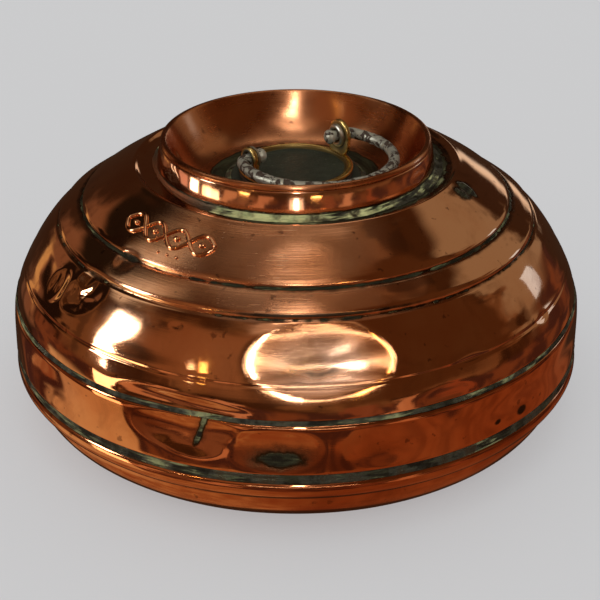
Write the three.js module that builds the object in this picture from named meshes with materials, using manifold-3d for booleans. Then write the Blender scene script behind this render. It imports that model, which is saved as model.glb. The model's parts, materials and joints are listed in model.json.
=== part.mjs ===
// Round copper bed warmer: a soldered hollow vessel with a filler funnel, closed by a brass
// screw stopper that carries a swinging wire bail. Millimetres, +Z up, origin at the centre
// of the foot, on the surface that the vessel stands on.
import * as THREE from 'three';
import { mergeVertices } from 'three/addons/utils/BufferGeometryUtils.js';
import Module from 'manifold-3d';

const wasm = await Module();
wasm.setup();

// ---- driving dimensions -------------------------------------------------------------
const SHEET = 1.0;            // copper sheet thickness
const GAP = 0.05;             // gap between soldered or stacked neighbours
const TURNED_GAP = 0.3;       // gap left round a piece that is cut by its neighbour
const ROUND = 40;             // facets round the large shells
const SMALL_ROUND = 28;       // facets round the stopper, its washer and the thread

const FOOT_R = 81.9;          // outer edge of the flat foot
const FOOT_INNER_R = 58;      // where the dished middle of the base begins
const DISH_RISE = 1.6;        // height of the dished middle above the floor
const PAN_TOP_R = 108.9;      // base pan just under its bead
const PAN_TOP_Z = 17.5;
const BEAD_R = 113.5;         // bead round the top of the base pan
const BEAD_Z = 24.2;
const PAN_LAP_R = 112.0;      // base pan where it stands up inside the side band
const PAN_LAP_TOP_Z = 36;

const BAND_BOTTOM_R = 113.3;  // side band, outside
const BAND_BOTTOM_Z = 29.9;
const BAND_MIDDLE_R = 113.0;
const BAND_MIDDLE_Z = 38;
const BAND_TOP_R = 112.3;
const BAND_TOP_Z = 49;

const DOME_LAP_R = 111.0;     // dome where it hangs down inside the side band
const DOME_LAP_BOTTOM_Z = 42;
const GUTTER_INNER_R = 47;    // opening in the top of the dome
const GUTTER_OUTER_R = 60.2;
const GUTTER_Z = 98.6;
const RIDGE_R = 62.6;         // rounded collar round the gutter
const RIDGE_Z = 100.5;

const RIM_Z = 110.4;          // top of the funnel's lip
const LIP_R = 50.7;           // centre of the rolled lip
const LIP_ROLL_R = 1.4;
const BOWL_FLOOR_Z = 92.6;
const BOWL_FLOOR_R = 32;
const COLLAR_TOP_R = 51.9;    // outer band of the funnel
const COLLAR_FOOT_R = 53.6;
const COLLAR_TOP_Z = 108.6;

const THREAD_PITCH = 3;
const THREAD_CORE_R = 17;
const THREAD_CREST_R = 18.6;
const THREAD_ROOT_WIDTH = 1.8;
const THREAD_CREST_WIDTH = 0.7;
const THREAD_BOTTOM_Z = 84.4;
const THREAD_TURNS = 3;
const THREAD_CLEARANCE = 0.32;

const BUSH_BORE_R = 17.5;
const BUSH_BARREL_R = 21;
const BUSH_BOTTOM_Z = 81.5;
const FLANGE_R = 25.4;
const FLANGE_TOP_Z = 93.9;

const WASHER_INNER_R = 19.1;  // sealing washer under the stopper's head
const WASHER_OUTER_R = 21.9;
const HEAD_UNDERSIDE_Z = 95.25;

const STOPPER_RIM_R = 21.2;   // centre of the rounded rim round the stopper's head
const STOPPER_RIM_ROLL_R = 1.15;
const STOPPER_RIM_Z = 96.85;
const RECESS_Z = 96.3;
const RECESS_R = 18;
const PLUG_BOTTOM_Z = 82.5;
const PLUG_HOLLOW_R = 13.5;
const PLUG_WEB_Z = 94.3;

const EAR_ANGLE = THREE.MathUtils.degToRad(36.5);
const EAR_INNER_FACE = 20.7;  // distance of the ear's inner face from the stopper's axis
const EAR_THICKNESS = 1.8;
const EAR_HOLE_Z = 105;
const EAR_HOLE_R = 2.8;
const EAR_TOP_R = 6.2;
const EAR_FOOT_HALF_WIDTH = 6.8;
const EAR_FOOT_Z = 97.1;

const WIRE_R = 2.2;           // bail wire
const BAIL_R = 29;            // centre line of the bail's round
const BAIL_CENTRE = 14;       // how far the round's centre stands off the ear axis
const BAIL_TIP = 16;          // where the wire ends, inside the ears
const KNOB_R = 2.9;           // peened end of the wire
const CORNER_START = 23.3;    // where the wire starts to bend, outside the ear
const CORNER_R = 3.1;

// ---- helpers --------------------------------------------------------------------------
const brass = { color: 0x9a7b35, roughness: 0.42, metalness: 1 };
const copper = { color: 0xb4623a, roughness: 0.24, metalness: 1 };
const tarnish = { color: 0x4f5b4a, roughness: 0.75, metalness: 0.4 };
const steel = { color: 0x8f8c84, roughness: 0.6, metalness: 0.8 };
const leather = { color: 0x3a2a1d, roughness: 0.9, metalness: 0 };

const V2 = (r, z) => new THREE.Vector2(r, z);

// Welds a geometry into one closed body with its faces pointing out.
function closed(geometry) {
  const bare = new THREE.BufferGeometry();
  bare.setAttribute('position', geometry.getAttribute('position').clone());
  if (geometry.index) bare.setIndex(geometry.index.clone());
  const welded = mergeVertices(bare, 1e-3);
  const position = welded.getAttribute('position');
  const corner = [0, 1, 2].map(() => new THREE.Vector3());
  const index = [];
  let volume = 0;
  for (let i = 0; i < welded.index.count; i += 3) {
    const face = [0, 1, 2].map((k) => welded.index.getX(i + k));
    if (new Set(face).size < 3) continue;
    face.forEach((v, k) => corner[k].fromBufferAttribute(position, v));
    volume += corner[0].dot(corner[1].clone().cross(corner[2])) / 6;
    index.push(...face);
  }
  if (volume < 0) index.reverse();
  welded.setIndex(index);
  return welded;
}

function toManifold(geometry) {
  const solid = closed(geometry);
  return new wasm.Manifold(new wasm.Mesh({
    numProp: 3,
    vertProperties: new Float32Array(solid.getAttribute('position').array),
    triVerts: new Uint32Array(solid.index.array),
  }));
}

function fromManifold(manifold) {
  const mesh = manifold.getMesh();
  const geometry = new THREE.BufferGeometry();
  geometry.setAttribute('position', new THREE.BufferAttribute(mesh.vertProperties, 3));
  geometry.setIndex(new THREE.BufferAttribute(mesh.triVerts, 1));
  return geometry;
}

// Turns an outline about the Z axis; the outline is closed on itself when it misses the axis.
function turned(outline, facets = ROUND) {
  const first = outline[0];
  const onAxis = first.x === 0 && outline.at(-1).x === 0;
  const profile = onAxis ? outline : [...outline, first.clone()];
  return closed(new THREE.LatheGeometry(profile, facets).rotateX(Math.PI / 2));
}

// Points on an arc, in degrees, both ends included.
function arc(r, z, radius, from, to, steps) {
  return Array.from({ length: steps + 1 }, (_, i) => {
    const angle = THREE.MathUtils.degToRad(from + ((to - from) * i) / steps);
    return V2(r + radius * Math.cos(angle), z + radius * Math.sin(angle));
  });
}

// A trapezoid ridge swept along a right-hand helix, sunk into the core at both ends.
function helicalRidge({ rootR, crestR, rootWidth, crestWidth, bottomZ, turns, sink }) {
  const steps = Math.round(turns * SMALL_ROUND);
  const position = [];
  const index = [];
  for (let i = 0; i <= steps; i += 1) {
    const angle = (i / SMALL_ROUND) * Math.PI * 2;
    const z = bottomZ + (i / SMALL_ROUND) * THREAD_PITCH;
    const fade = sink ? Math.min(1, Math.min(i, steps - i) / (SMALL_ROUND / 6)) : 1;
    const tip = rootR + (crestR - rootR) * fade;
    const section = [[rootR, -rootWidth / 2], [tip, -crestWidth / 2],
      [tip, crestWidth / 2], [rootR, rootWidth / 2]];
    for (const [r, dz] of section) position.push(r * Math.cos(angle), r * Math.sin(angle), z + dz);
  }
  for (let i = 0; i < steps; i += 1) {
    for (let k = 0; k < 4; k += 1) {
      const a = 4 * i + k;
      const b = 4 * i + ((k + 1) % 4);
      index.push(a, b, a + 4, b, b + 4, a + 4);
    }
  }
  const last = 4 * steps;
  index.push(0, 2, 1, 0, 3, 2, last, last + 1, last + 2, last, last + 2, last + 3);
  const geometry = new THREE.BufferGeometry();
  geometry.setAttribute('position', new THREE.Float32BufferAttribute(position, 3));
  geometry.setIndex(index);
  return geometry;
}

function part(name, geometry, look) {
  const mesh = new THREE.Mesh(geometry, new THREE.MeshStandardMaterial(look));
  mesh.name = name;
  return mesh;
}

// ---- vessel ---------------------------------------------------------------------------
function basePan() {
  const depth = PAN_TOP_Z;
  const reach = PAN_TOP_R - FOOT_R;
  const curve = (inset, steps) => Array.from({ length: steps + 1 }, (_, i) => {
    const angle = (i / steps) * (Math.PI / 2);
    return V2(FOOT_R + (reach - inset) * Math.cos(angle), depth - (depth - inset) * Math.sin(angle));
  });
  const outside = [
    V2(PAN_LAP_R, PAN_LAP_TOP_Z), V2(PAN_LAP_R, 26.3), V2(112.9, 25.7), V2(BEAD_R, BEAD_Z),
    V2(113.3, 22.2), V2(112.2, 20.2), V2(110.3, 18.6), ...curve(0, 5),
    V2(FOOT_INNER_R + 2, 0), V2(FOOT_INNER_R - 2, DISH_RISE), V2(0, DISH_RISE),
  ];
  const inside = [
    V2(PAN_LAP_R - SHEET, PAN_LAP_TOP_Z), V2(PAN_LAP_R - SHEET, 25.4), V2(112.2, 23.8),
    V2(111.4, 21), V2(109, 19), ...curve(SHEET, 4),
    V2(FOOT_INNER_R + 2.4, SHEET), V2(FOOT_INNER_R - 1.6, DISH_RISE + SHEET),
    V2(0, DISH_RISE + SHEET),
  ];
  return turned([...inside.reverse(), ...outside]);
}

function sideBand() {
  const outside = [
    V2(BAND_BOTTOM_R, BAND_BOTTOM_Z), V2(113.2, 33), V2(BAND_MIDDLE_R, BAND_MIDDLE_Z),
    V2(112.7, 43), V2(BAND_TOP_R, 47.6), V2(111.9, 48.6), V2(111.5, BAND_TOP_Z),
  ];
  const inside = [
    V2(DOME_LAP_R + 0.15, BAND_TOP_Z), V2(DOME_LAP_R + 0.2, 46), V2(111.7, 40),
    V2(PAN_LAP_R + 0.15, 34), V2(BAND_BOTTOM_R - SHEET, BAND_BOTTOM_Z),
  ];
  return turned([...outside, ...inside]);
}

function domeShell() {
  const outside = [
    V2(GUTTER_INNER_R, GUTTER_Z), V2(GUTTER_OUTER_R, GUTTER_Z), V2(61.2, 99.3), V2(61.9, 100.2),
    V2(RIDGE_R, RIDGE_Z), V2(63.7, 99.9), V2(68, 97.5), V2(73, 94.4), V2(78, 91.2),
    V2(81.8, 88.5), V2(82.6, 87.5), V2(83, 86.3), V2(84.3, 85.9), V2(88.3, 83.7),
    V2(91.8, 81.4), V2(92.6, 80.4), V2(92.8, 79.3), V2(94, 78.3), V2(97.8, 74.5),
    V2(102.9, 67.9), V2(106.8, 61.3), V2(109.6, 55.4), V2(110.8, 51.4),
    V2(DOME_LAP_R, 50), V2(DOME_LAP_R, DOME_LAP_BOTTOM_Z),
  ];
  const inside = [
    V2(GUTTER_INNER_R, GUTTER_Z - SHEET), V2(60.7, GUTTER_Z - SHEET), V2(62.6, 99.2),
    V2(67.4, 96.7), V2(81.3, 87.3), V2(82, 85.8), V2(91.5, 79.9), V2(91.9, 78.7),
    V2(97, 73.9), V2(102.1, 67.3), V2(105.9, 60.8), V2(108.7, 55),
    V2(DOME_LAP_R - SHEET, 49.5), V2(DOME_LAP_R - SHEET, DOME_LAP_BOTTOM_Z),
  ];
  return turned([...outside, ...inside.reverse()]);
}

// Solder drawn into the step where the side band laps over the dome.
function upperSeamSolder() {
  const z = BAND_TOP_Z + GAP;
  return turned([V2(DOME_LAP_R + 0.1, z), V2(111.8, z), V2(111.4, z + 0.5), V2(DOME_LAP_R + 0.1, z + 1.9)]);
}

// Solder strip between the lower edge of the side band and the bead of the base pan.
function lowerSeamSolder() {
  const r = PAN_LAP_R + 0.1;
  const top = BAND_BOTTOM_Z - GAP;
  return turned([V2(r, 26.5), V2(112.7, 26.1), V2(112.9, 27.2), V2(112.8, 28.6), V2(113, top), V2(r, top)]);
}

// ---- funnel ---------------------------------------------------------------------------
function fillerFunnel() {
  const lip = arc(LIP_R, RIM_Z - LIP_ROLL_R, LIP_ROLL_R, 150, -25, 7);
  const wall = [[36.5, 93.5], [40.5, 95.9], [43.6, 99.3], [46, 103.3], [48, 107]];
  const upper = [V2(BUSH_BARREL_R + 0.2, BOWL_FLOOR_Z), V2(BOWL_FLOOR_R, BOWL_FLOOR_Z),
    ...wall.map(([r, z]) => V2(r, z))];
  const under = [V2(50.9, 108.1), V2(49, 106.6), V2(46.9, 102.8), V2(44.5, 98.6), V2(41, 94.9),
    V2(36.9, 92.5), V2(BOWL_FLOOR_R + 0.2, BOWL_FLOOR_Z - SHEET),
    V2(BUSH_BARREL_R + 0.2, BOWL_FLOOR_Z - SHEET)];
  return turned([...upper, ...lip, ...under]);
}

function funnelCollar() {
  const foot = GUTTER_Z + GAP;
  const outside = [V2(COLLAR_FOOT_R + 0.1, foot), V2(COLLAR_FOOT_R, 100.3), V2(53.1, 103.6),
    V2(52.4, 106.6), V2(COLLAR_TOP_R, COLLAR_TOP_Z - 0.4)];
  const inside = [V2(51.3, 107.7), V2(51.5, 106.2), V2(52.2, 103.3), V2(52.7, 100), V2(52.8, foot)];
  return turned([...outside, ...inside]);
}

// Solder fillet in the gutter, round the foot of the funnel's collar.
function funnelSolder() {
  const z = GUTTER_Z + GAP;
  const r = COLLAR_FOOT_R + 0.15;
  return turned([V2(r, z), V2(r + 3.2, z), V2(r + 1.2, z + 0.5), V2(r, z + 1.5)]);
}

// ---- neck -----------------------------------------------------------------------------
function neckBush() {
  const floor = BOWL_FLOOR_Z + GAP;
  const blank = turned([
    V2(BUSH_BORE_R, BUSH_BOTTOM_Z), V2(BUSH_BARREL_R, BUSH_BOTTOM_Z), V2(BUSH_BARREL_R, floor),
    V2(FLANGE_R, floor), V2(FLANGE_R, FLANGE_TOP_Z - 0.3), V2(FLANGE_R - 0.3, FLANGE_TOP_Z),
    V2(18.9, FLANGE_TOP_Z), V2(BUSH_BORE_R, FLANGE_TOP_Z - 1.2),
  ], SMALL_ROUND);
  const groove = helicalRidge({
    rootR: THREAD_CORE_R - THREAD_CLEARANCE,
    crestR: THREAD_CREST_R + THREAD_CLEARANCE,
    rootWidth: THREAD_ROOT_WIDTH + 2 * THREAD_CLEARANCE,
    crestWidth: THREAD_CREST_WIDTH + 2 * THREAD_CLEARANCE,
    bottomZ: THREAD_BOTTOM_Z - 2 * THREAD_PITCH,
    turns: THREAD_TURNS + 3,
    sink: false,
  });
  return fromManifold(toManifold(blank).subtract(toManifold(groove)));
}

function bushSolder() {
  const z = BOWL_FLOOR_Z + GAP;
  const r = FLANGE_R + GAP;
  return turned([V2(r, z), V2(r + 2.2, z), V2(r + 0.8, z + 0.35), V2(r, z + 0.9)], SMALL_ROUND);
}

// ---- stopper --------------------------------------------------------------------------
function stopperBody() {
  const rim = arc(STOPPER_RIM_R, STOPPER_RIM_Z, STOPPER_RIM_ROLL_R, 130, -60, 8);
  const blank = turned([
    V2(0, RECESS_Z), V2(RECESS_R, RECESS_Z), V2(19.4, 96.8), ...rim,
    V2(21.6, HEAD_UNDERSIDE_Z), V2(THREAD_CORE_R, HEAD_UNDERSIDE_Z),
    V2(THREAD_CORE_R, PLUG_BOTTOM_Z + 0.9), V2(THREAD_CORE_R - 0.9, PLUG_BOTTOM_Z),
    V2(PLUG_HOLLOW_R + 0.5, PLUG_BOTTOM_Z), V2(PLUG_HOLLOW_R, PLUG_WEB_Z - 1),
    V2(PLUG_HOLLOW_R - 1, PLUG_WEB_Z), V2(0, PLUG_WEB_Z),
  ], SMALL_ROUND);
  const ridge = helicalRidge({
    rootR: THREAD_CORE_R - 0.35,
    crestR: THREAD_CREST_R,
    rootWidth: THREAD_ROOT_WIDTH,
    crestWidth: THREAD_CREST_WIDTH,
    bottomZ: THREAD_BOTTOM_Z,
    turns: THREAD_TURNS,
    sink: true,
  });
  return fromManifold(toManifold(blank).add(toManifold(ridge)));
}

function sealingWasher() {
  const bottom = FLANGE_TOP_Z + GAP;
  const top = HEAD_UNDERSIDE_Z - GAP;
  return turned([
    V2(WASHER_INNER_R, bottom), V2(WASHER_OUTER_R, bottom),
    V2(WASHER_OUTER_R, top), V2(WASHER_INNER_R, top),
  ], SMALL_ROUND);
}

// A rounded lug with an eye, its foot cut to sit over the stopper's rounded rim. Its flat
// faces look along X, towards and away from the stopper's axis.
function ear() {
  const outline = new THREE.Shape();
  const shoulder = THREE.MathUtils.degToRad(12);
  outline.moveTo(-EAR_FOOT_HALF_WIDTH, EAR_FOOT_Z);
  outline.lineTo(EAR_FOOT_HALF_WIDTH, EAR_FOOT_Z);
  outline.lineTo(EAR_TOP_R * Math.cos(shoulder), EAR_HOLE_Z - EAR_TOP_R * Math.sin(shoulder));
  outline.absarc(0, EAR_HOLE_Z, EAR_TOP_R, -shoulder, Math.PI + shoulder, false);
  const eye = new THREE.Path();
  eye.absarc(0, EAR_HOLE_Z, EAR_HOLE_R, 0, Math.PI * 2, true);
  outline.holes.push(eye);
  const plate = new THREE.ExtrudeGeometry(outline, {
    depth: EAR_THICKNESS, bevelEnabled: false, curveSegments: 9,
  });
  plate.rotateX(Math.PI / 2).rotateZ(Math.PI / 2).translate(EAR_INNER_FACE, 0, 0);
  const rim = turned(
    arc(STOPPER_RIM_R, STOPPER_RIM_Z, STOPPER_RIM_ROLL_R + TURNED_GAP, 360, 24, 14),
    SMALL_ROUND,
  );
  return fromManifold(toManifold(plate).subtract(toManifold(rim)));
}

// ---- bail -----------------------------------------------------------------------------
// The wire's centre line in the plane of the bail: X along the ear axis, Y away from it. It
// runs in through an ear, turns a tight corner outside it and goes round to the other ear.
function bailPath() {
  const turn = THREE.MathUtils.degToRad(61);
  const corner = Array.from({ length: 7 }, (_, i) => {
    const angle = (turn * i) / 6;
    return [CORNER_START + CORNER_R * Math.sin(angle), CORNER_R * (1 - Math.cos(angle))];
  });
  const [endX, endY] = corner.at(-1);
  const from = Math.atan2(endY + 1.5 - BAIL_CENTRE, endX + 1);
  const side = [[BAIL_TIP, 0], [BAIL_TIP + 3.5, 0], ...corner];
  const steps = 22;
  const round = Array.from({ length: steps + 1 }, (_, i) => {
    const angle = from + ((Math.PI - 2 * from) * i) / steps;
    return [BAIL_R * Math.cos(angle), BAIL_CENTRE + BAIL_R * Math.sin(angle)];
  });
  const mirrored = side.map(([x, y]) => [-x, y]).reverse();
  const points = [...side, ...round, ...mirrored].map(([x, y]) => new THREE.Vector3(x, -y, 0));
  return new THREE.CatmullRomCurve3(points, false, 'centripetal');
}

function bailRing() {
  const section = new THREE.Shape().absarc(0, 0, WIRE_R, 0, Math.PI * 2, false);
  const wire = new THREE.ExtrudeGeometry(section, {
    steps: 56, extrudePath: bailPath(), curveSegments: 5, bevelEnabled: false,
  });
  const knob = (side) => {
    const outline = [V2(0, -KNOB_R * 0.75), ...arc(0, 0, KNOB_R, -48, 48, 4), V2(0, KNOB_R * 0.75)];
    return turned(outline, 10).rotateY(Math.PI / 2).translate(side * (BAIL_TIP + 0.3), 0, 0);
  };
  const joined = toManifold(wire).add(toManifold(knob(1))).add(toManifold(knob(-1)));
  return fromManifold(joined);
}

// A domed ring on the wire between its peened end and the ear.
function bailWasher(side) {
  const ring = turned([V2(2.7, 0), V2(4.6, 0), V2(4.4, 0.8), V2(3.6, 1.4), V2(2.7, 1.1)], 20);
  return closed(ring.rotateY((-side * Math.PI) / 2).translate(side * (EAR_INNER_FACE - TURNED_GAP), 0, 0));
}

// ---- assembly -------------------------------------------------------------------------
const warmer = new THREE.Group();
warmer.add(
  part('base_pan', basePan(), copper),
  part('side_band', sideBand(), copper),
  part('dome_shell', domeShell(), copper),
  part('lower_seam_solder', lowerSeamSolder(), tarnish),
  part('upper_seam_solder', upperSeamSolder(), tarnish),
  part('funnel_bowl', fillerFunnel(), copper),
  part('funnel_collar', funnelCollar(), copper),
  part('funnel_solder', funnelSolder(), tarnish),
  part('neck_bush', neckBush(), brass),
  part('bush_solder', bushSolder(), tarnish),
  part('sealing_washer', sealingWasher(), leather),
  part('stopper_body', stopperBody(), brass),
);

const earAxis = new THREE.Group();
earAxis.rotation.z = EAR_ANGLE;
const leftEar = part('stopper_ear_left', ear(), brass);
leftEar.rotation.z = Math.PI;
earAxis.add(part('stopper_ear_right', ear(), brass), leftEar);

const bail = new THREE.Group();
bail.position.z = EAR_HOLE_Z;
bail.add(
  part('bail_wire', bailRing(), steel),
  part('bail_washer_right', bailWasher(1), steel),
  part('bail_washer_left', bailWasher(-1), steel),
);
earAxis.add(bail);
warmer.add(earAxis);

export default warmer;
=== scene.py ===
"""A round copper bed warmer with a brass screw stopper and a swinging wire bail.

Profiles and places are in millimetres, measured as in the CAD frame: +Z up, the origin at the
centre of the foot. Azimuths are in degrees, 0 towards the front (-Y) and 90 towards +X."""
import functools
import json
import math

import bpy
import numpy as np
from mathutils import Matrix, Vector


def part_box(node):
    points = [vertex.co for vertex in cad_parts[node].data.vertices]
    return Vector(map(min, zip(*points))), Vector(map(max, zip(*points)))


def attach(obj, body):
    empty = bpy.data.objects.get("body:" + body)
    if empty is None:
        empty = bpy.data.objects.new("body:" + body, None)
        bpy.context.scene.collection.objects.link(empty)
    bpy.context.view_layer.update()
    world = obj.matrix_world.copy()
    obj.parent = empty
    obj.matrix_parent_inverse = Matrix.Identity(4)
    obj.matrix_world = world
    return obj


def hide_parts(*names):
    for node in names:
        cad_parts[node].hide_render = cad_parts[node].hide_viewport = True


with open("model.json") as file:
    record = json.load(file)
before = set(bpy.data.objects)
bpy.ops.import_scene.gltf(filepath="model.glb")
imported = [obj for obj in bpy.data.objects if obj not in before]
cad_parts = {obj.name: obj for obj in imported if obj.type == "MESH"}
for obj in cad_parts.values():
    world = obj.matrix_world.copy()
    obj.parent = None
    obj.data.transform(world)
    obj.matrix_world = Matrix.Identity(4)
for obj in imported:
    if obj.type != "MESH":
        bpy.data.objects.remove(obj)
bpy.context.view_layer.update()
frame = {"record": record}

MM = 0.001
FINE = 0.05  # spacing in mm at which outlines are sampled before they are thinned

# ---- sizes read from the CAD frame, in millimetres ----
def edges(node):
    """(outer radius, lowest height, highest height) of a round CAD node, in mm."""
    low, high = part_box(node)
    return high.x / MM, low.z / MM, high.z / MM


BAND_R, BAND_LOW, BAND_HIGH = edges("side_band")
PAN_R, _, PAN_LAP = edges("base_pan")
LAP_R, LAP_LOW, RIDGE_Z = edges("dome_shell")
LIP_R, BOWL_UNDER, RIM_Z = edges("funnel_bowl")
COLLAR_R, COLLAR_LOW, COLLAR_HIGH = edges("funnel_collar")
FLANGE_R, BUSH_LOW, FLANGE_Z = edges("neck_bush")
HEAD_R, PLUG_LOW, HEAD_Z = edges("stopper_body")
WASHER_R, WASHER_LOW, WASHER_HIGH = edges("sealing_washer")
GUTTER_Z = RIDGE_Z - 1.9
FLOOR_Z = BOWL_UNDER + 1.0
SHEET = 1.0

JOINTS = {j["name"]: j for j in frame["record"]["behaviour"]["joints"]}
EAR_AXIS = -Vector(JOINTS["bail_swing"]["axis"])
EAR_Z = JOINTS["bail_swing"]["pos_m"][2] / MM
PITCH = JOINTS["stopper_lift"]["range_m"][1] / MM / (JOINTS["stopper_turn"]["range_deg"][1] / 360)


# ---- outlines ----
def curve_through(points, step=0.1):
    """Points along a smooth curve through the given points, about step mm apart."""
    p = np.array(points, float)
    if len(p) == 2:
        n = max(2, int(np.hypot(*(p[1] - p[0])) / step) + 1)
        return np.linspace(p[0], p[1], n)
    ends = np.vstack([2 * p[0] - p[1], p, 2 * p[-1] - p[-2]])
    out = []
    for a, b, c, d in zip(ends, ends[1:], ends[2:], ends[3:]):
        n = max(2, int(np.hypot(*(c - b)) / step) + 1)
        t = np.linspace(0, 1, n, endpoint=False)[:, None]
        out.append(0.5 * (2 * b + (c - a) * t + (2 * a - 5 * b + 4 * c - d) * t**2
                          + (3 * b - a - 3 * c + d) * t**3))
    return np.vstack(out + [p[-1:]])


def headings(points):
    """The unit direction of a plane curve at each of its points."""
    way = np.gradient(points, axis=0)
    return way / np.hypot(*way.T)[:, None]


def lengths_to(points):
    """The length of a plane curve up to each of its points."""
    return np.r_[0, np.cumsum(np.hypot(*np.diff(points, axis=0).T))]


def outline(*runs, blur=0.35, step=0.9, turn=5.0):
    """Joins runs of (r, z) points, rounds the corners between them by blur mm, and thins the
    result to at most step mm and turn degrees between neighbours."""
    raw = np.vstack([curve_through(run) for run in runs])
    gaps = np.hypot(*np.diff(raw, axis=0).T)
    raw = raw[np.r_[True, gaps > 1e-6]]
    along = lengths_to(raw)
    even = np.arange(0, along[-1], FINE)
    p = np.column_stack([np.interp(even, along, raw[:, k]) for k in (0, 1)])
    if blur:
        reach = int(3 * blur / FINE)
        kernel = np.exp(-0.5 * (np.arange(-reach, reach + 1) * FINE / blur) ** 2)
        kernel /= kernel.sum()
        padded = np.vstack([2 * p[0] - p[reach:0:-1], p, 2 * p[-1] - p[-2:-reach - 2:-1]])
        p = np.column_stack([np.convolve(padded[:, k], kernel, "valid") for k in (0, 1)])
    heading = np.unwrap(np.arctan2(*np.gradient(p, axis=0).T[::-1]))
    keep = [0]
    for i in range(1, len(p)):
        bend = abs(heading[i] - heading[keep[-1]])
        if (i - keep[-1]) * FINE >= step or bend > math.radians(turn):
            keep.append(i)
    keep.append(len(p) - 1)
    return p[np.unique(keep)]


def random_field(round_cells, cell, seed):
    """A function of angle (radians) and a length in mm that gives smooth random values
    between 0 and 1, with no seam round the object."""
    rows, first_row = 512, 200
    grid = np.random.RandomState(seed).rand(rows, round_cells)

    def value(theta, v):
        a = np.mod(theta / (2 * math.pi), 1) * round_cells
        b = np.asarray(v) / cell + first_row
        i, j = np.floor(a).astype(int), np.floor(b).astype(int)
        fa, fb = a - i, b - j
        fa, fb = fa * fa * (3 - 2 * fa), fb * fb * (3 - 2 * fb)
        at = lambda row, col: grid[np.mod(row, rows), np.mod(col, round_cells)]
        low = at(j, i) * (1 - fa) + at(j, i + 1) * fa
        high = at(j + 1, i) * (1 - fa) + at(j + 1, i + 1) * fa
        return low * (1 - fb) + high * fb

    return value


def smooth_step(low, high, x):
    """0 below low, 1 above high and smooth between; falling where high is below low."""
    t = np.clip((np.asarray(x, float) - low) / (high - low), 0, 1)
    return t * t * (3 - 2 * t)


def near(x, centre, half):
    """1 at centre, falling smoothly to 0 at half away."""
    return 1 - smooth_step(0, half, np.abs(np.asarray(x) - centre))


def azimuth_of(theta):
    """theta in degrees, between -180 and 180."""
    return np.degrees(np.mod(theta + math.pi, 2 * math.pi) - math.pi)


def strongest(*masks):
    """The largest of several masks at each point."""
    return functools.reduce(np.maximum, masks)


def circle(steps):
    """The angles of equal steps round a circle, in radians."""
    return np.arange(steps) * 2 * math.pi / steps


# ---- meshes ----
def mesh_object(name, vertices, faces, masks=None):
    """A smooth-shaded mesh object from vertices in mm; masks are per-vertex values."""
    mesh = bpy.data.meshes.new(name)
    mesh.from_pydata((np.asarray(vertices) * MM).tolist(), [], faces)
    mesh.shade_smooth()
    for mask, values in (masks or {}).items():
        layer = mesh.attributes.new(mask, "FLOAT", "POINT")
        layer.data.foreach_set("value", np.asarray(values, np.float32).ravel())
    mesh.update()
    obj = bpy.data.objects.new(name, mesh)
    bpy.context.scene.collection.objects.link(obj)
    return obj


def point_rows(x, y, z):
    """Coordinates that broadcast against each other, as one list of points."""
    return np.stack(np.broadcast_arrays(x, y, z), -1).reshape(-1, 3)


def grid_faces(rows, columns, wrap_rows, way=1):
    """Quads of a grid of rows x columns vertices whose columns close round the object. The
    corners run the other way round where way is -1."""
    i = np.arange(rows if wrap_rows else rows - 1)[:, None]
    j = np.arange(columns)[None, :]
    i2, j2 = (i + 1) % rows, (j + 1) % columns
    return np.stack([i * columns + j, i * columns + j2, i2 * columns + j2,
                     i2 * columns + j], -1).reshape(-1, 4)[:, ::way].tolist()


def tube_faces(rows, sides, way):
    """Faces of a tube of rows rings, closed by a polygon at each end."""
    first, last = list(range(sides)), list(range((rows - 1) * sides, rows * sides))
    return [*grid_faces(rows, sides, False, way), first[::-way], last[::way]]


def revolve(name, profile, columns, form):
    """Turns a profile about Z into a closed skin. The profile runs anticlockwise in (r, z),
    outside first, and closes on itself unless it starts and ends on the axis. form(theta,
    r, z) gives the moved r and z and a dictionary of per-vertex masks."""
    profile = np.asarray(profile, float)
    on_axis = profile[0, 0] < 1e-9 and profile[-1, 0] < 1e-9
    theta = circle(columns)[None, :]
    body = profile[1:-1] if on_axis else profile
    r, z, masks = form(theta, *(np.repeat(body[:, k:k + 1], columns, 1) for k in (0, 1)))
    points = point_rows(r * np.sin(theta), -r * np.cos(theta), z)
    faces = grid_faces(len(body), columns, not on_axis)
    flat = {k: np.broadcast_to(v, r.shape).ravel() for k, v in masks.items()}
    if on_axis:
        first, last = len(points), len(points) + 1
        points = np.vstack([points, [[0, 0, profile[0, 1]], [0, 0, profile[-1, 1]]]])
        top = (len(body) - 1) * columns
        for j in range(columns):
            k = (j + 1) % columns
            faces.append((first, k, j))
            faces.append((last, top + j, top + k))
        flat = {k: np.r_[v, v[0], v[-1]] for k, v in flat.items()}
    return mesh_object(name, points, faces, flat)


def piece(obj, body, material, slot, *nodes):
    """Makes an object a piece of the part, in place of the CAD nodes named."""
    obj.data.materials.append(material)
    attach(obj, body)
    if nodes:
        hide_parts(*nodes)


# ---- materials ----
class Signal:
    """A socket of a node material, with arithmetic that makes Math nodes."""

    def __init__(self, paint, socket):
        self.paint, self.socket = paint, socket

    def __add__(self, other):
        return self.paint.math("ADD", self, other)

    def __radd__(self, other):
        return self.paint.math("ADD", other, self)

    def __sub__(self, other):
        return self.paint.math("SUBTRACT", self, other)

    def __rsub__(self, other):
        return self.paint.math("SUBTRACT", other, self)

    def __mul__(self, other):
        return self.paint.math("MULTIPLY", self, other)


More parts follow.
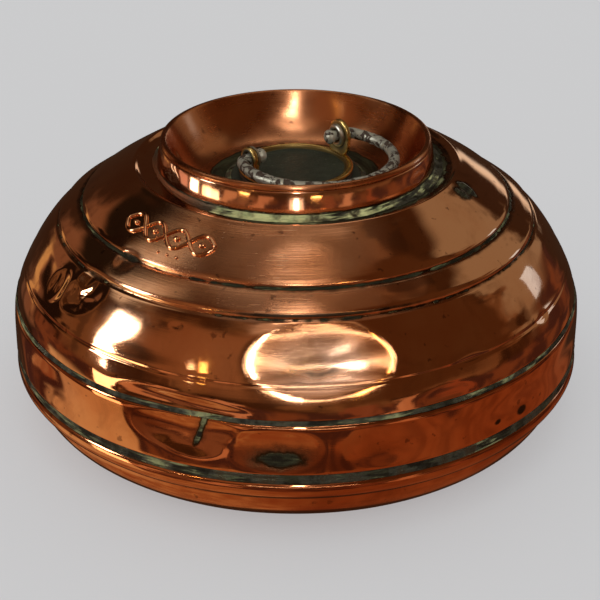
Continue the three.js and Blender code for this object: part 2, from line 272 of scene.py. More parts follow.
class Paint:
    """A node material under construction."""

    def __init__(self, name):
        self.material = bpy.data.materials.new(name)
        self.material.use_nodes = True
        self.tree = self.material.node_tree
        self.shader = self.tree.nodes["Principled BSDF"]
        self.place = self.signal("ShaderNodeTexCoord", {}, "Object")

    def put(self, socket, value):
        if isinstance(value, Signal):
            self.tree.links.new(value.socket, socket)
        else:
            socket.default_value = value

    def node(self, kind, inputs, **settings):
        """A new node, its inputs given by name or number."""
        made = self.tree.nodes.new(kind)
        for key, value in settings.items():
            setattr(made, key, value)
        for key, value in inputs.items():
            self.put(made.inputs[key], value)
        return made

    def signal(self, kind, inputs, output=0, **settings):
        return Signal(self, self.node(kind, inputs, **settings).outputs[output])

    def split(self, vector):
        made = self.node("ShaderNodeSeparateXYZ", {0: vector})
        return [Signal(self, socket) for socket in made.outputs]

    def math(self, operation, *values, clamp=False):
        return self.signal("ShaderNodeMath", dict(enumerate(values)), operation=operation,
                           use_clamp=clamp)

    def mask(self, name):
        return self.signal("ShaderNodeAttribute", {}, "Fac", attribute_name=name)

    def noise(self, scale, detail=4.0, rough=0.5, vector=None, distort=0.0):
        return self.signal("ShaderNodeTexNoise", {
            "Vector": vector or self.place, "Scale": scale, "Detail": detail,
            "Roughness": rough, "Distortion": distort}, "Fac")

    def between(self, value, low, high, out_low=0.0, out_high=1.0):
        """Maps value from low..high to out_low..out_high, smoothly and clamped."""
        inputs = enumerate((value, low, high, out_low, out_high))
        return self.signal("ShaderNodeMapRange", dict(inputs), interpolation_type="SMOOTHSTEP")

    def mix(self, factor, a, b):
        a, b = (c if isinstance(c, Signal) else (*c, 1) for c in (a, b))
        return self.signal("ShaderNodeMix", {"Factor": factor, 6: a, 7: b}, 2, data_type="RGBA")

    def rings(self, fine, along):
        """Coordinates stretched round the Z axis: fine across, slow along the turning."""
        x, y, z = self.split(self.place)
        radius = self.math("SQRT", x * x + y * y)
        return self.signal("ShaderNodeCombineXYZ",
                           {0: radius * fine + x * along, 1: z * fine, 2: y * along})

    def scratches(self, patches):
        """Thin straight hairlines in a few directions, in patches."""
        total = 0.0
        for tilt, turn, scale in ((0.35, 0.2, 1.0), (-0.5, -0.3, 0.8), (1.0, 0.1, 1.2)):
            spun = self.signal("ShaderNodeMapping", {
                "Vector": self.place, "Rotation": (turn, tilt, 0.4 * tilt),
                "Scale": (42 * scale, 1500 * scale, 2400 * scale)})
            total = total + self.between(self.noise(1.0, 1, 0.4, spun), 0.66, 0.74)
        return self.math("MULTIPLY", total, self.between(patches, 0.44, 0.62), clamp=True)

    def bump(self, height, distance, normal=None):
        inputs = {"Distance": distance, "Height": height}
        if normal:
            inputs["Normal"] = normal
        return self.signal("ShaderNodeBump", inputs)

    def finish(self, **inputs):
        for name, value in inputs.items():
            self.put(self.shader.inputs[name.replace("_", " ")], value)
        return self.material


def crust_colours(paint, paleness=1.0):
    """Verdigris: dark grey-green with pale specks and blue-green blooms."""
    streaks = paint.noise(1.0, 5, 0.6, paint.rings(700, 90))
    streaked = paint.between(streaks, 0.4, 0.62)
    dark = paint.mix(streaked, (0.014, 0.011, 0.005), (0.038, 0.037, 0.016))
    patches = streaks + paint.noise(45, 3) * 1.1 + paint.mask("bloom") * 0.2
    green = paint.mix(paint.between(paint.noise(160, 3), 0.45, 0.7),
                      [c * paleness for c in (0.20, 0.20, 0.09)],
                      [c * paleness for c in (0.095, 0.110, 0.046)])
    return paint.mix(paint.between(patches, 1.10, 1.30), dark, green)


def copper(name, bright, deep, rough, brush, haze_level=0.5, paleness=1.0, grain=0.7,
           hairlines=1.0):
    """Polished copper that has darkened and been rubbed again, with brush marks and scratches.
    The masks say where it is stained brown or darkened as painted shade, crusted with verdigris,
    satin, or lifted pale pink as rubbed copper and painted sheen."""
    paint = Paint(name)
    colour = paint.mix(paint.between(paint.noise(16, 5, 0.6), 0.38, 0.66), bright, deep)
    haze = paint.between(paint.noise(55, 6, 0.6, distort=0.6), 0.5, 0.72, 0.0, haze_level)
    colour = paint.mix(haze, colour, [c * 0.62 for c in deep])
    spots = paint.between(paint.noise(300, 3, 0.5), 0.66, 0.74, 0.0, 0.6)
    colour = paint.mix(spots, colour, (0.16, 0.06, 0.03))
    edge = paint.noise(210, 5, 0.6)
    # The stain mask darkens the colour: real stains and tarnish, and on the dome's steps painted
    # shade.
    stain = paint.between(paint.mask("stain") + edge * 0.5, 0.48, 0.92)
    colour = paint.mix(stain, colour, (0.045, 0.03, 0.02))
    cover = paint.mask("crust") + edge * 0.7
    colour = paint.mix(paint.between(cover, 0.56, 0.80), colour, (0.05, 0.032, 0.014))
    crust = paint.between(cover, 0.75, 0.95)
    colour = paint.mix(crust, colour, crust_colours(paint, paleness))

    satin = paint.mask("satin")
    marks = paint.noise(1.0, 3, 0.6, paint.rings(1900, 30))
    scratch = paint.math("MULTIPLY", paint.scratches(paint.noise(45, 2)),
                         (satin + 0.25) * hairlines, clamp=True)
    # Pale pink where the 'pale' mask says: partly rubbed bright copper, partly a painted sheen
    # that makes the front dent look brightly lit.
    pale = paint.math("MULTIPLY", paint.mask("pale"), 1.0 - crust, clamp=True)
    colour = paint.mix(pale, colour, (0.96, 0.68, 0.52))
    roughness = (marks * brush + (rough - brush * 0.4) + haze * 0.08 + satin * 0.15
                 + scratch * 0.10 + stain * 0.25)
    normal = paint.bump(marks * (satin + 0.12), 0.000035)
    normal = paint.bump(scratch, -0.000006, normal)
    normal = paint.bump(paint.noise(700, 6, 0.65) * crust, 0.0005, normal)
    return paint.finish(
        Base_Color=colour, Metallic=1.0 - crust * 0.92,
        Roughness=paint.math("MAXIMUM", roughness, crust * 0.62), Normal=normal,
        Specular_IOR_Level=paint.between(crust, 0.0, 1.0, 0.5, 0.12),
        Tangent=paint.signal("ShaderNodeTangent", {}, direction_type="RADIAL", axis="Z"),
        Anisotropic=grain, Anisotropic_Rotation=0.25)


def solder_paint(name, paleness):
    """Old solder under verdigris, coppery again where the mask 'rubbed' says."""
    paint = Paint(name)
    rubbed = paint.mask("rubbed")
    lead = paint.mix(paint.noise(240, 4), (0.06, 0.06, 0.04), (0.16, 0.16, 0.11))
    lead = paint.mix(rubbed, lead, (0.30, 0.11, 0.045))
    cover = paint.between(paint.noise(120, 5, 0.6) - rubbed * 0.6, 0.34, 0.56)
    return paint.finish(
        Base_Color=paint.mix(cover, lead, crust_colours(paint, paleness)),
        Metallic=paint.between(cover, 0.0, 1.0, 0.8, 0.08),
        Roughness=paint.between(cover, 0.0, 1.0, 0.34, 0.6),
        Specular_IOR_Level=paint.between(cover, 0.0, 1.0, 0.5, 0.2),
        Normal=paint.bump(paint.noise(650, 6, 0.65), 0.0007))


def brass(name, bright, dull, rough):
    """Aged brass: bright where the mask 'worn' says, dull elsewhere, dark and green by its crust
    mask, which is verdigris and, under the stopper's rim, painted shade.
    """
    paint = Paint(name)
    cloud = paint.noise(130, 5, 0.6)
    worn = paint.between(paint.mask("worn") + cloud * 0.5, 0.45, 0.95)
    # grime is verdigris and, under the stopper's rim, painted shade.
    grime = paint.between(paint.mask("crust") + cloud * 0.6, 0.6, 0.95)
    green = paint.mix(paint.noise(300, 5), (0.020, 0.025, 0.015), (0.052, 0.062, 0.038))
    specks = paint.between(paint.noise(700, 5, 0.6), 0.62, 0.72)
    green = paint.mix(specks, green, (0.13, 0.15, 0.09))
    marks = paint.noise(1.0, 3, 0.6, paint.rings(3000, 30))
    roughness = paint.between(worn, 0.0, 1.0, rough + 0.22, rough) + marks * 0.08
    normal = paint.bump(paint.noise(600, 6, 0.65) * grime, 0.0004, paint.bump(marks, 0.00003))
    return paint.finish(
        Base_Color=paint.mix(grime, paint.mix(worn, dull, bright), green),
        Metallic=1.0 - grime * 0.6, Roughness=paint.math("MAXIMUM", roughness, grime * 0.55),
        Normal=normal)


def plated_wire():
    """Grey plating that has flaked off dark rusty steel."""
    paint = Paint("flaking_plating")
    bare = paint.between(paint.noise(290, 4, 0.6, distort=0.8), 0.50, 0.55)
    plate = paint.mix(paint.noise(800, 4), (0.40, 0.40, 0.31), (0.80, 0.80, 0.66))
    steel = paint.mix(paint.noise(500, 4), (0.035, 0.022, 0.015), (0.13, 0.085, 0.055))
    normal = paint.bump(paint.noise(1200, 5, 0.6), 0.0002, paint.bump(1.0 - bare, 0.0003))
    return paint.finish(
        Base_Color=paint.mix(bare, plate, steel), Normal=normal,
        Metallic=paint.between(bare, 0.0, 1.0, 0.75, 0.45),
        Roughness=paint.between(bare, 0.0, 1.0, 0.38, 0.62))


def oiled_leather():
    paint = Paint("oiled_leather")
    grain = paint.noise(1500, 5, 0.6)
    return paint.finish(
        Base_Color=paint.mix(grain, (0.035, 0.02, 0.012), (0.11, 0.065, 0.04)), Metallic=0.0,
        Roughness=paint.between(grain, 0.3, 0.7, 0.55, 0.85), Normal=paint.bump(grain, 0.0004))


# ---- dents ----
class Shell:
    """A turned outer surface that dents follow: heights give the way along its profile."""

    def __init__(self, profile, dents):
        order = np.argsort(profile[:, 1])
        along, slope = lengths_to(profile), headings(profile)
        self.z, self.r = profile[order, 1], profile[order, 0]
        self.along = along[order]
        self.along_order, self.r_order = along, profile[:, 0]
        self.out_r, self.out_z = slope[order, 1], -slope[order, 0]
        if self.out_r.mean() < 0:
            self.out_r, self.out_z = -self.out_r, -self.out_z
        self.dents = [self.dent(*dent) for dent in dents]

    def at(self, z, what):
        return np.interp(z, self.z, getattr(self, what))

    def dent(self, corners, depth, soft=0.5, power=2.0):
        """How far a pushed-in patch pushes, depth mm at its middle, as a function of angle and
        length along the profile. corners are the (azimuth, height) that its rounded outline
        passes, going round once; soft rounds the crease at its edge; a higher power gives a
        flatter floor; a negative depth bulges out."""
        azimuths, heights = np.array(corners, float).T
        centre = azimuths.mean()
        lengths = self.at(heights, "along")
        middle = lengths.mean()
        radius = np.interp(middle, self.along_order, self.r_order)
        u, v = radius * np.radians(azimuths - centre), lengths - middle
        width, height = np.abs(u).max(), np.abs(v).max()
        way, size = np.arctan2(v / height, u / width), np.hypot(u / width, v / height)
        order = np.argsort(way)
        bins, n = np.linspace(-math.pi, math.pi, 241), 24
        reach = np.interp(bins[:-1], way[order], size[order], period=2 * math.pi)
        kernel = np.exp(-0.5 * (np.arange(-n, n + 1) / 6.0) ** 2)
        reach = np.convolve(np.r_[reach[-n:], reach, reach[:n]], kernel / kernel.sum(), "valid")
        reach = np.r_[reach, reach[0]]
        rim = 0.5 * (math.sqrt(9 * depth**2 + soft**2) - 3 * abs(depth))
        sign = math.copysign(1, depth)

        def push(theta, along):
            turn = np.mod(theta - math.radians(centre) + math.pi, 2 * math.pi) - math.pi
            u, v = radius * turn / width, (along - middle) / height
            rho = np.hypot(u, v) / np.interp(np.arctan2(v, u), bins, reach)
            inside = depth * (1 - np.minimum(rho**power, 4))
            return sign * (0.5 * (sign * inside + np.sqrt(inside**2 + soft**2)) - rim)

        return push

    def depth(self, theta, z):
        along = self.at(z, "along")
        return sum(push(theta, along) for push in self.dents)

    def pushed(self, push, r, z):
        """r and z moved inwards by push mm."""
        return r - push * self.at(z, "out_r"), z - push * self.at(z, "out_z")


def close_sheet(outside, thickness=SHEET, cut=2.6):
    """A closed profile: the outer outline and a plainer one inside it, thickness away, with
    its points at least cut mm apart."""
    slope = headings(outside)
    inner = outside - np.column_stack([slope[:, 1], -slope[:, 0]]) * thickness
    kept = [inner[0]]
    for point, way in zip(inner[1:-1], slope[1:-1]):
        if np.hypot(*(point - kept[-1])) > cut and np.dot(point - kept[-1], way) > 0:
            kept.append(point)
    return np.vstack([outside, [*kept, inner[-1]][::-1]])


# ---- vessel ----
# The outsides as runs of (r, z) points: the dome's from the gutter down, the band's upwards.
DOME_RUNS = (
    [(47, GUTTER_Z), (59.9, GUTTER_Z)],
    [(60.2, GUTTER_Z + 0.2), (61.2, GUTTER_Z + 0.9), (61.9, RIDGE_Z - 0.3), (62.7, RIDGE_Z),
     (63.9, RIDGE_Z - 0.7)],
    [(63.9, RIDGE_Z - 0.7), (68, 97.6), (73, 94.6), (78, 91.4), (81.9, 88.5)],
    [(82.3, 88.1), (83.0, 87.2), (82.9, 86.2)],
    [(83.2, 85.9), (84.5, 85.9)],
    [(84.9, 85.8), (88.3, 83.9), (91.7, 81.6)],
    [(92.2, 81.1), (92.7, 80.1), (92.5, 79.3)],
    [(92.8, 79.0), (93.7, 78.7)],
    [(94.1, 78.4), (97.8, 74.7), (102.7, 68.0), (105.7, 62.9)],
    [(106.3, 62.1), (106.55, 61.6), (106.5, 61.1)],
    [(106.8, 60.9), (107.2, 60.5)],
    [(107.4, 60.1), (109.6, 55.4), (110.8, 51.4), (LAP_R, 49.6), (LAP_R, LAP_LOW)],
)
BAND_RUNS = (
    [(BAND_R - 1.2, BAND_LOW), (BAND_R - 0.3, BAND_LOW)],
    [(BAND_R, BAND_LOW + 0.4), (BAND_R - 0.1, 33), (113.0, 38), (112.75, 43), (112.4, 47.2)],
    [(112.2, 47.9), (111.8, 48.6), (111.2, BAND_HIGH)],
)
# Each dent's outline as (azimuth, height) corners, then its depth, softness and power.
DOME_DENTS = (
    ([(-6.0, 75.5), (0.5, 79.2), (10.2, 78.6), (15.6, 73.6), (19.0, 66.2), (16.5, 61.6),
      (9.5, 58.8), (0.8, 58.2), (-5.8, 60.8), (-10, 66.6)], 3.6, 0.55, 1.5),
    ([(-4, 66), (3, 69.5), (10, 70), (14, 66), (9, 62.5), (1, 62)], 0.6, 0.2, 1.2),
    ([(-61.5, 65.5), (-63.3, 70), (-61.5, 75), (-58, 76.5), (-56.6, 72), (-57.5, 67)],
     1.5, 0.25, 1.6),
    ([(-61, 66.8), (-61.6, 72), (-60.2, 74.5), (-59.6, 70)], -0.5, 0.12, 1.6),
    ([(-55.5, 66.8), (-56, 70), (-54.5, 75.5), (-53, 79.5), (-47, 80.6), (-44.4, 77.5),
      (-45.2, 73), (-48.5, 69), (-52, 67.2)], 1.7, 0.3, 1.8),
    ([(-54.6, 69), (-54.4, 73), (-50.5, 78.6), (-48.4, 79), (-50.8, 74), (-52.8, 69)],
     -0.7, 0.15),
    ([(-52, 70.4), (-49, 73.2), (-45.8, 73.6), (-46.5, 71.8), (-49.5, 69.6)], -0.5, 0.12),
    ([(-9, 89), (-8, 94.5), (2, 96.5), (12, 95.5), (15, 91), (10, 88.4), (0, 88)], 0.45, 0.15),
    ([(-33, 50), (-29, 56), (-20, 55.5), (-11.5, 54), (-9, 49.5)], 1.5, 0.5),
    ([(-40, 60), (-34, 66), (-26, 63), (-27, 56), (-36, 55)], 0.5, 0.4),
    ([(-48, 86.5), (-45, 88.3), (-42, 87), (-43.5, 83.2), (-47, 83.5)], 0.9, 0.3),
    ([(22, 83), (25, 86), (31, 85), (30, 82)], 0.3, 0.3),
    ([(52, 62), (54, 71), (66, 72), (69, 63), (60, 59)], 0.25, 0.6),
    ([(26, 49.6), (24, 54), (30, 55.5), (34, 52)], 0.5, 0.4),
    ([(-25.4, 74.4), (-25, 75.4), (-23.7, 75.4), (-23.5, 74.4)], 0.35, 0.1),
    ([(31, 61.3), (36, 62.6), (38.5, 61.6), (34, 60.5)], 0.35, 0.12),
    ([(56, 60), (57.5, 62.6), (60, 62), (59, 59.6)], 0.3, 0.12),
    ([(118, 66), (121, 76), (132, 78), (140, 70), (130, 62)], 1.6, 0.5),
    ([(-158, 54), (-154, 62), (-146, 61), (-143, 55), (-150, 51)], 1.1, 0.5),
)
BAND_DENTS = (
    ([(-30, 47), (-21, 48), (-10.5, 47.5), (-11.5, 41), (-16.5, 33.5), (-24.5, 36.5)], 2.3, 0.5),
    ([(-12, 40), (-8, 45.8), (-2, 47), (2.5, 45.5), (4.4, 38.2), (1, 32), (-5, 30.8), (-10, 33)],
     1.7, 0.45, 2.2),
    ([(9, 34), (11, 45), (21, 46), (24, 38), (18, 32)], 0.7, 0.5),
    ([(38, 32), (40, 41), (50, 42), (53, 35), (46, 31)], 0.6, 0.5),
    ([(60, 36), (63, 45), (72, 46), (76, 38), (68, 33)], 0.8, 0.5),
    ([(-62, 34), (-60, 44), (-46, 46), (-43, 37), (-52, 32)], 0.7, 0.6),
    ([(92, 36), (96, 46), (108, 45), (110, 36), (100, 32)], 1.1, 0.5),
    ([(-130, 35), (-126, 45), (-114, 44), (-112, 36), (-120, 32)], 0.9, 0.5),
    ([(162, 36), (165, 46), (178, 47), (184, 40), (174, 32)], 1.5, 0.5),
)
dome_outline = outline(*DOME_RUNS, blur=0.32, step=0.8)[::-1]
band_outline = outline(*BAND_RUNS, blur=0.25, step=0.7)
dome_shell = Shell(dome_outline[dome_outline[:, 0] > 62.5], DOME_DENTS)
band_shell = Shell(band_outline[band_outline[:, 1] > BAND_LOW + 0.2], BAND_DENTS)


def wall_push(theta, z):
    """How far the side wall is pushed in, shared by every sheet and seam of it."""
    dome = dome_shell.depth(theta, np.maximum(z, BAND_HIGH + 0.6)) * smooth_step(38, BAND_HIGH, z)
    band = band_shell.depth(theta, np.clip(z, BAND_LOW + 0.5, BAND_HIGH - 0.3))
    return dome + band * smooth_step(24, BAND_LOW, z) * smooth_step(57, BAND_HIGH, z)


def build_dome(paint):
    wander = random_field(22, 16, 5)
    crumple = random_field(90, 6, 6)
    crust_noise = random_field(240, 2.2, 8)

    def form(theta, r, z):
        along, azimuth = dome_shell.at(z, "along"), azimuth_of(theta)
        slow = (wander(theta, along) - 0.5) * 0.35 * smooth_step(100, 96, z)
        crumpled = sum(amount * near(azimuth, *place) * near(z, *height)
                       for amount, place, height in (
                           (0.25, (-53, 11), (71, 9.5)), (0.03, (-21, 16), (54, 5)),
                           (0.22, (4.5, 13), (68, 11))))
        push = wall_push(theta, z) + slow + (crumple(theta, along) - 0.5) * 1.1 * crumpled

        noise = crust_noise(theta, along + r)
        behind = np.abs(azimuth)
        low = smooth_step(GUTTER_Z + 1.0, GUTTER_Z + 0.3, z)
        gutter = low * smooth_step(60.2, 56.5 + 1.0 * noise, r)
        grime = low * smooth_step(62.0, 60.0, r)
        upper = near(z, 86.1, 1.0) * near(r, 83.3, 1.5)
        lower = near(z, 79.2, 0.9) * near(r, 92.9, 1.4)
        patch = near(azimuth, 67.5, 9) * near(r, 68, 8) * near(z, 97.4, 6)
        rubbed = near(azimuth, -30, 17)
        front = strongest(smooth_step(-48, -12, azimuth), smooth_step(110, 150, behind))
        residue = near(azimuth, 5, 13) * near(z, 65.4 + 1.8 * (noise - 0.5), 2.6)
        crust = strongest(
            0.3 * residue * noise, gutter * (0.62 + 0.3 * noise) * front,
            upper * (0.45 + 0.5 * noise - 0.4 * rubbed),
            lower * (0.10 + 0.6 * noise - 0.3 * rubbed), patch * (0.45 + 0.9 * noise))
        # Darker on the dome's steps: tarnish in the grooves at z 86.2 and 79.3, and painted shade
        # over the front of the step edge at z 80.6, where it would show a bright highlight.
        rings = strongest(0.55 * near(z, 86.2, 1.7), 0.55 * near(z, 79.3, 1.2),
                          0.8 * near(z, 80.6, 1.3) * near(azimuth, 5, 34) ** 0.5)
        emboss = near(azimuth, -39, 20) * near(r, 74, 8) * near(z, 94, 6)
        stain = strongest(
            0.45 * near(z, 49.8, 1.6), 0.55 * grime * (0.15 + 0.85 * front),
            rings * (1 - 0.7 * rubbed), 0.9 * patch, 0.3 * emboss * noise, 0.62 * residue)
        left = smooth_step(-54, -40, azimuth) * smooth_step(24, 8, azimuth)
        upper_cone = smooth_step(76, 84, z) * (1 - grime)
        dent = near(azimuth, 4.5, 17) ** 0.5 * near(z, 67.5, 15) ** 0.5
        satin = strongest(upper_cone * strongest(left, 0.6 * smooth_step(120, 150, behind)),
                          0.25 * left * smooth_step(60, 66, z), dent * 0.95)
        # Front dent tinted pale pink: partly rubbed copper, partly a painted sheen.
        pale = 0.85 * smooth_step(0.4, 1, dent) * (1 - 0.8 * residue)
        masks = {"crust": crust, "stain": stain, "satin": satin, "pale": pale}
        return *dome_shell.pushed(push, r, z), masks

    made = revolve("copper_dome", close_sheet(dome_outline), 720, form)
    piece(made, "vessel", paint, "copper_dome", "dome_shell")


def swept(points, radii, sides=10):
    """(vertices, faces) of a tube through points with the given radii, closed at its ends."""
    points = np.asarray(points, float)
    heading = np.gradient(points, axis=0)
    heading /= np.linalg.norm(heading, axis=1)[:, None]
    side = np.cross(heading, (0.0, 0.0, 1.0))
    side /= np.linalg.norm(side, axis=1)[:, None]
    up = np.cross(side, heading)
    a = circle(sides)
    ring = side[:, None] * np.cos(a)[None, :, None] + up[:, None] * np.sin(a)[None, :, None]
    vertices = (points[:, None] + ring * np.asarray(radii)[:, None, None]).reshape(-1, 3)
    return vertices, tube_faces(len(points), sides, -1)


def build_ornament(paint):
    """A raised interlaced border with beads, where a maker would stamp the dome."""
    start, end, waves, swing = -55.0, -22.0, 4, 2.1
    middle = 94.2
    vertices, faces = [], []

    def add(azimuth, z, radii):
        """A raised line along the dome, through these azimuths and heights."""
        theta = np.radians(azimuth)
        push = dome_shell.depth(theta, z)
        r, z = dome_shell.pushed(push, dome_shell.at(z, "r"), z)
        part = swept(np.column_stack([r * np.sin(theta), -r * np.cos(theta), z]), radii)
        base = sum(len(v) for v in vertices)
        vertices.append(part[0])
        faces.extend(tuple(base + k for k in f) for f in part[1])

    t = np.linspace(0, 1, 220)
    ends = 1 - np.minimum(np.minimum(t, 1 - t) / 0.012, 1)
    taper = np.sqrt(np.clip(1 - ends ** 2, 0.01, 1))
    for way in (1, -1):
        height = middle + way * swing * np.sin(math.pi * waves * t)
        add(start + (end - start) * t, height, 0.8 * taper)
    t = np.linspace(-1, 1, 12)
    bead = np.sqrt(1.02 - t * t)
    for k in range(waves):
        azimuth = start + (end - start) * (k + 0.5) / waves
        add(azimuth + 1.15 * t, np.full(12, middle), 1.0 * bead)
    for azimuth in (-37.5, -34.5, -31.5):
        add(azimuth + 0.5 * t, np.full(12, 90.4), 0.55 * bead)
    made = mesh_object("dome_ornament", np.vstack(vertices), faces)
    piece(made, "vessel", paint, "copper_dome")


def build_band(paint):
    wander = random_field(26, 14, 15)

    def form(theta, r, z):
        azimuth = azimuth_of(theta)
        low_pit = near(azimuth, -2.4, 8.0) * near(z, 35.6, 5.5)
        fall = -16.4 - 0.17 * (47 - z)
        streak = near(azimuth, fall, 1.2) * smooth_step(34.5, 40, z)
        halo = 0.6 * near(azimuth, -2.6, 14) ** 0.7 * near(z, 36.5, 10) ** 0.7
        stain = strongest(
            low_pit, halo, streak, 0.42 * (near(azimuth, fall, 4.0) * smooth_step(33, 41, z)),
            near(azimuth, 46.5, 2.6) * near(z, 33.9, 3.0),
            near(azimuth, 39.8, 1.6) * near(z, 34.7, 2.0), 0.35 * near(z, 48.8, 1.3))
        pit = near(azimuth, -3.5, 11) * near(z, 37.5, 9)
        satin = strongest(0.9 * pit, 0.5 * near(azimuth, -17, 9) * smooth_step(32, 44, z))
        masks = {"crust": strongest(low_pit * 0.85, streak * 0.66), "stain": stain,
                 "satin": satin}
        return r - wall_push(theta, z) - wander(theta, z) * 0.45 - 0.02, z, masks

    made = revolve("copper_band", close_sheet(band_outline), 720, form)
    piece(made, "vessel", paint, "copper_band", "side_band")


def build_pan(paint):
    depth, reach, foot = 17.5, 27.0, 81.9
    arc = [(foot + reach * math.cos(a), depth - depth * math.sin(a))
           for a in np.linspace(0, math.pi / 2, 12)]
    outside = outline(
        [(0, 1.6), (54, 1.6)], [(56, 1.5), (58, 0.8), (60.5, 0.0)], [(62, 0), (foot - 1, 0)],
        arc[::-1],
        [(109.2, 17.9), (110.8, 18.8), (112.4, 20.4), (PAN_R - 0.1, 22.4), (PAN_R, 24.2),
         (112.95, 25.7), (112.1, 26.4)],
        [(112.0, 27), (112.0, PAN_LAP)], blur=0.3, step=1.0)
    outside[0, 0] = 0
    wander = random_field(24, 15, 25)

    def form(theta, r, z):
        # Darker in the groove under the bead.
        under_bead = near(z, 18.6, 2.2) * smooth_step(107, 109, r)
        live = smooth_step(82, 92, r) * smooth_step(1, 5, z)
        wall = wall_push(theta, z) * (z > 23) * (r > 105)
        return (r - wander(theta, z) * 0.35 * live - wall, z,
                {"crust": 0.35 * under_bead, "stain": 0.85 * under_bead})

    closed = close_sheet(outside)
    closed[-1, 0] = 0
    piece(revolve("copper_pan", closed, 450, form), "vessel", paint, "copper_base", "base_pan")


def build_solder(name, node, paint, seed, lump, columns, section, rubbed=None):
    """A soldered seam: a small section turned round the vessel, with lumps of about lump mm.
    rubbed is the azimuth and half width of a stretch that is worn down and coppery."""
    lumps = random_field(columns // 5, 1.2, seed)
    fine = random_field(columns // 2, 0.6, seed + 1)
    p = curve_through([*section, section[0]], 0.25)

    def form(theta, r, z):
        azimuth = azimuth_of(theta)
        push = (lumps(theta, z * 3 + r) - 0.62) * lump * 2 + (fine(theta, z * 4) - 0.6) * lump
        inside = (z > p[:, 1].min() + 0.2) * (z < p[:, 1].max() - 0.2)
        dented = wall_push(theta, z) if z.max() < 60 else 0
        where = near(azimuth, *rubbed) if rubbed else 0.0
        r = r - (r - p[:, 0].min()) * 0.75 * where
        masks = {"rubbed": np.clip(1.6 * where, 0, 1),
                 "bloom": near(azimuth, 0, 80) if rubbed else 0.0}
        return r + push - dented, z + 0.5 * push * inside, masks

    piece(revolve(name, p[:-1], columns, form), "vessel", paint, "solder", node)


# ---- funnel ----
BOWL_DENTS = (
    ([(-72, 98), (-78, 104), (-66, 107), (-56, 105), (-60, 99)], 1.5, 0.25),
    ([(-84, 99), (-90, 104), (-82, 106), (-76, 100)], 1.1, 0.2),
    ([(64, 101), (66, 107), (80, 107.5), (86, 103), (74, 99.5)], 1.4, 0.25),
    ([(140, 98), (144, 106), (158, 106), (160, 99)], 0.4, 0.4),
    ([(-170, 98), (-168, 105), (-152, 105), (-150, 98)], 0.5, 0.4),
)
COLLAR_DENTS = (
    ([(52, 103), (54, 106), (63, 106.2), (65, 103.2), (58, 102)], 0.35, 0.15),
    ([(-66, 101.5), (-65, 105.5), (-56, 105.5), (-55, 101.8)], 0.35, 0.2),
)


def build_bowl(paint):
    upper = outline(
        [(21.2, FLOOR_Z), (31.5, FLOOR_Z)],
        [(32.5, FLOOR_Z + 0.1), (36.5, FLOOR_Z + 0.9), (40.5, 95.9), (43.6, 99.3), (46, 103.3),
         (48, 107), (49.35, RIM_Z - 1.0)],
        [(49.6, RIM_Z - 0.5), (50.2, RIM_Z - 0.08), (50.8, RIM_Z - 0.02), (51.5, RIM_Z - 0.3),
         (LIP_R - 0.05, RIM_Z - 1.2), (LIP_R - 0.1, RIM_Z - 1.9), (51.7, RIM_Z - 2.3)],
        blur=0.3, step=0.8)
    shell = Shell(upper[(upper[:, 0] > 33) & (upper[:, 1] < RIM_Z - 1.2)][::-1], BOWL_DENTS)
    wander = random_field(12, 12, 33)
    tide = random_field(40, 4, 35)

    def form(theta, r, z):
        live = smooth_step(34, 38, r) * smooth_step(RIM_Z - 1, RIM_Z - 3, z)
        push = (shell.depth(theta, z) + (wander(theta, z) - 0.5) * 0.5) * live
        tide_line = 33.4 + 1.2 * (tide(theta, r * 0) - 0.5)
        grime = smooth_step(0, 1, (tide_line - r) / 3.0 + 0.5)
        return (r + push * 0.8, z - push * 0.5,
                {"crust": 0.8 * grime, "stain": strongest(grime, 0.45 * near(r, 35, 5))})

    closed = close_sheet(upper[::-1], SHEET * 0.9)
    made = revolve("copper_bowl", closed[::-1], 540, form)
    piece(made, "vessel", paint, "copper_bowl", "funnel_bowl")


def build_collar(paint):
    outside = outline(
        [(COLLAR_R - 0.9, COLLAR_LOW), (COLLAR_R, COLLAR_LOW)],
        [(COLLAR_R, COLLAR_LOW + 0.3), (53.6, 100.6), (53.15, 103.6), (52.45, 106.6),
         (51.9, COLLAR_HIGH)], blur=0.2, step=0.6)
    shell = Shell(outside[outside[:, 1] > COLLAR_LOW + 0.1], COLLAR_DENTS)
    wander = random_field(14, 9, 41)

    def form(theta, r, z):
        # Darker and greener towards the collar's foot.
        foot = smooth_step(101.4, 100.3, z)
        r, z = shell.pushed(shell.depth(theta, z), r, z)
        return r - (wander(theta, z) - 0.5) * 0.25, z, {"crust": 0.55 * foot, "stain": 0.6 * foot}

    made = revolve("copper_collar", close_sheet(outside, SHEET * 0.8), 540, form)
    piece(made, "vessel", paint, "copper_collar", "funnel_collar")


# ---- thread, bush and stopper ----
def ridge_height(theta, z, base, crest, root_width, crest_width, bottom, top, fade):
    """Radius of a helical ridge that rises anticlockwise, at angle theta and height z."""
    angle = theta - math.pi / 2
    phase = np.mod(z - bottom - PITCH * angle / (2 * math.pi) + PITCH / 2, PITCH) - PITCH / 2
    slope = (np.abs(phase) - crest_width / 2) / ((root_width - crest_width) / 2)
    height = 1 - smooth_step(0, 1, slope)
    ends = smooth_step(bottom - fade, bottom, z) * smooth_step(top + fade, top, z)
    return base + (crest - base) * height * ends


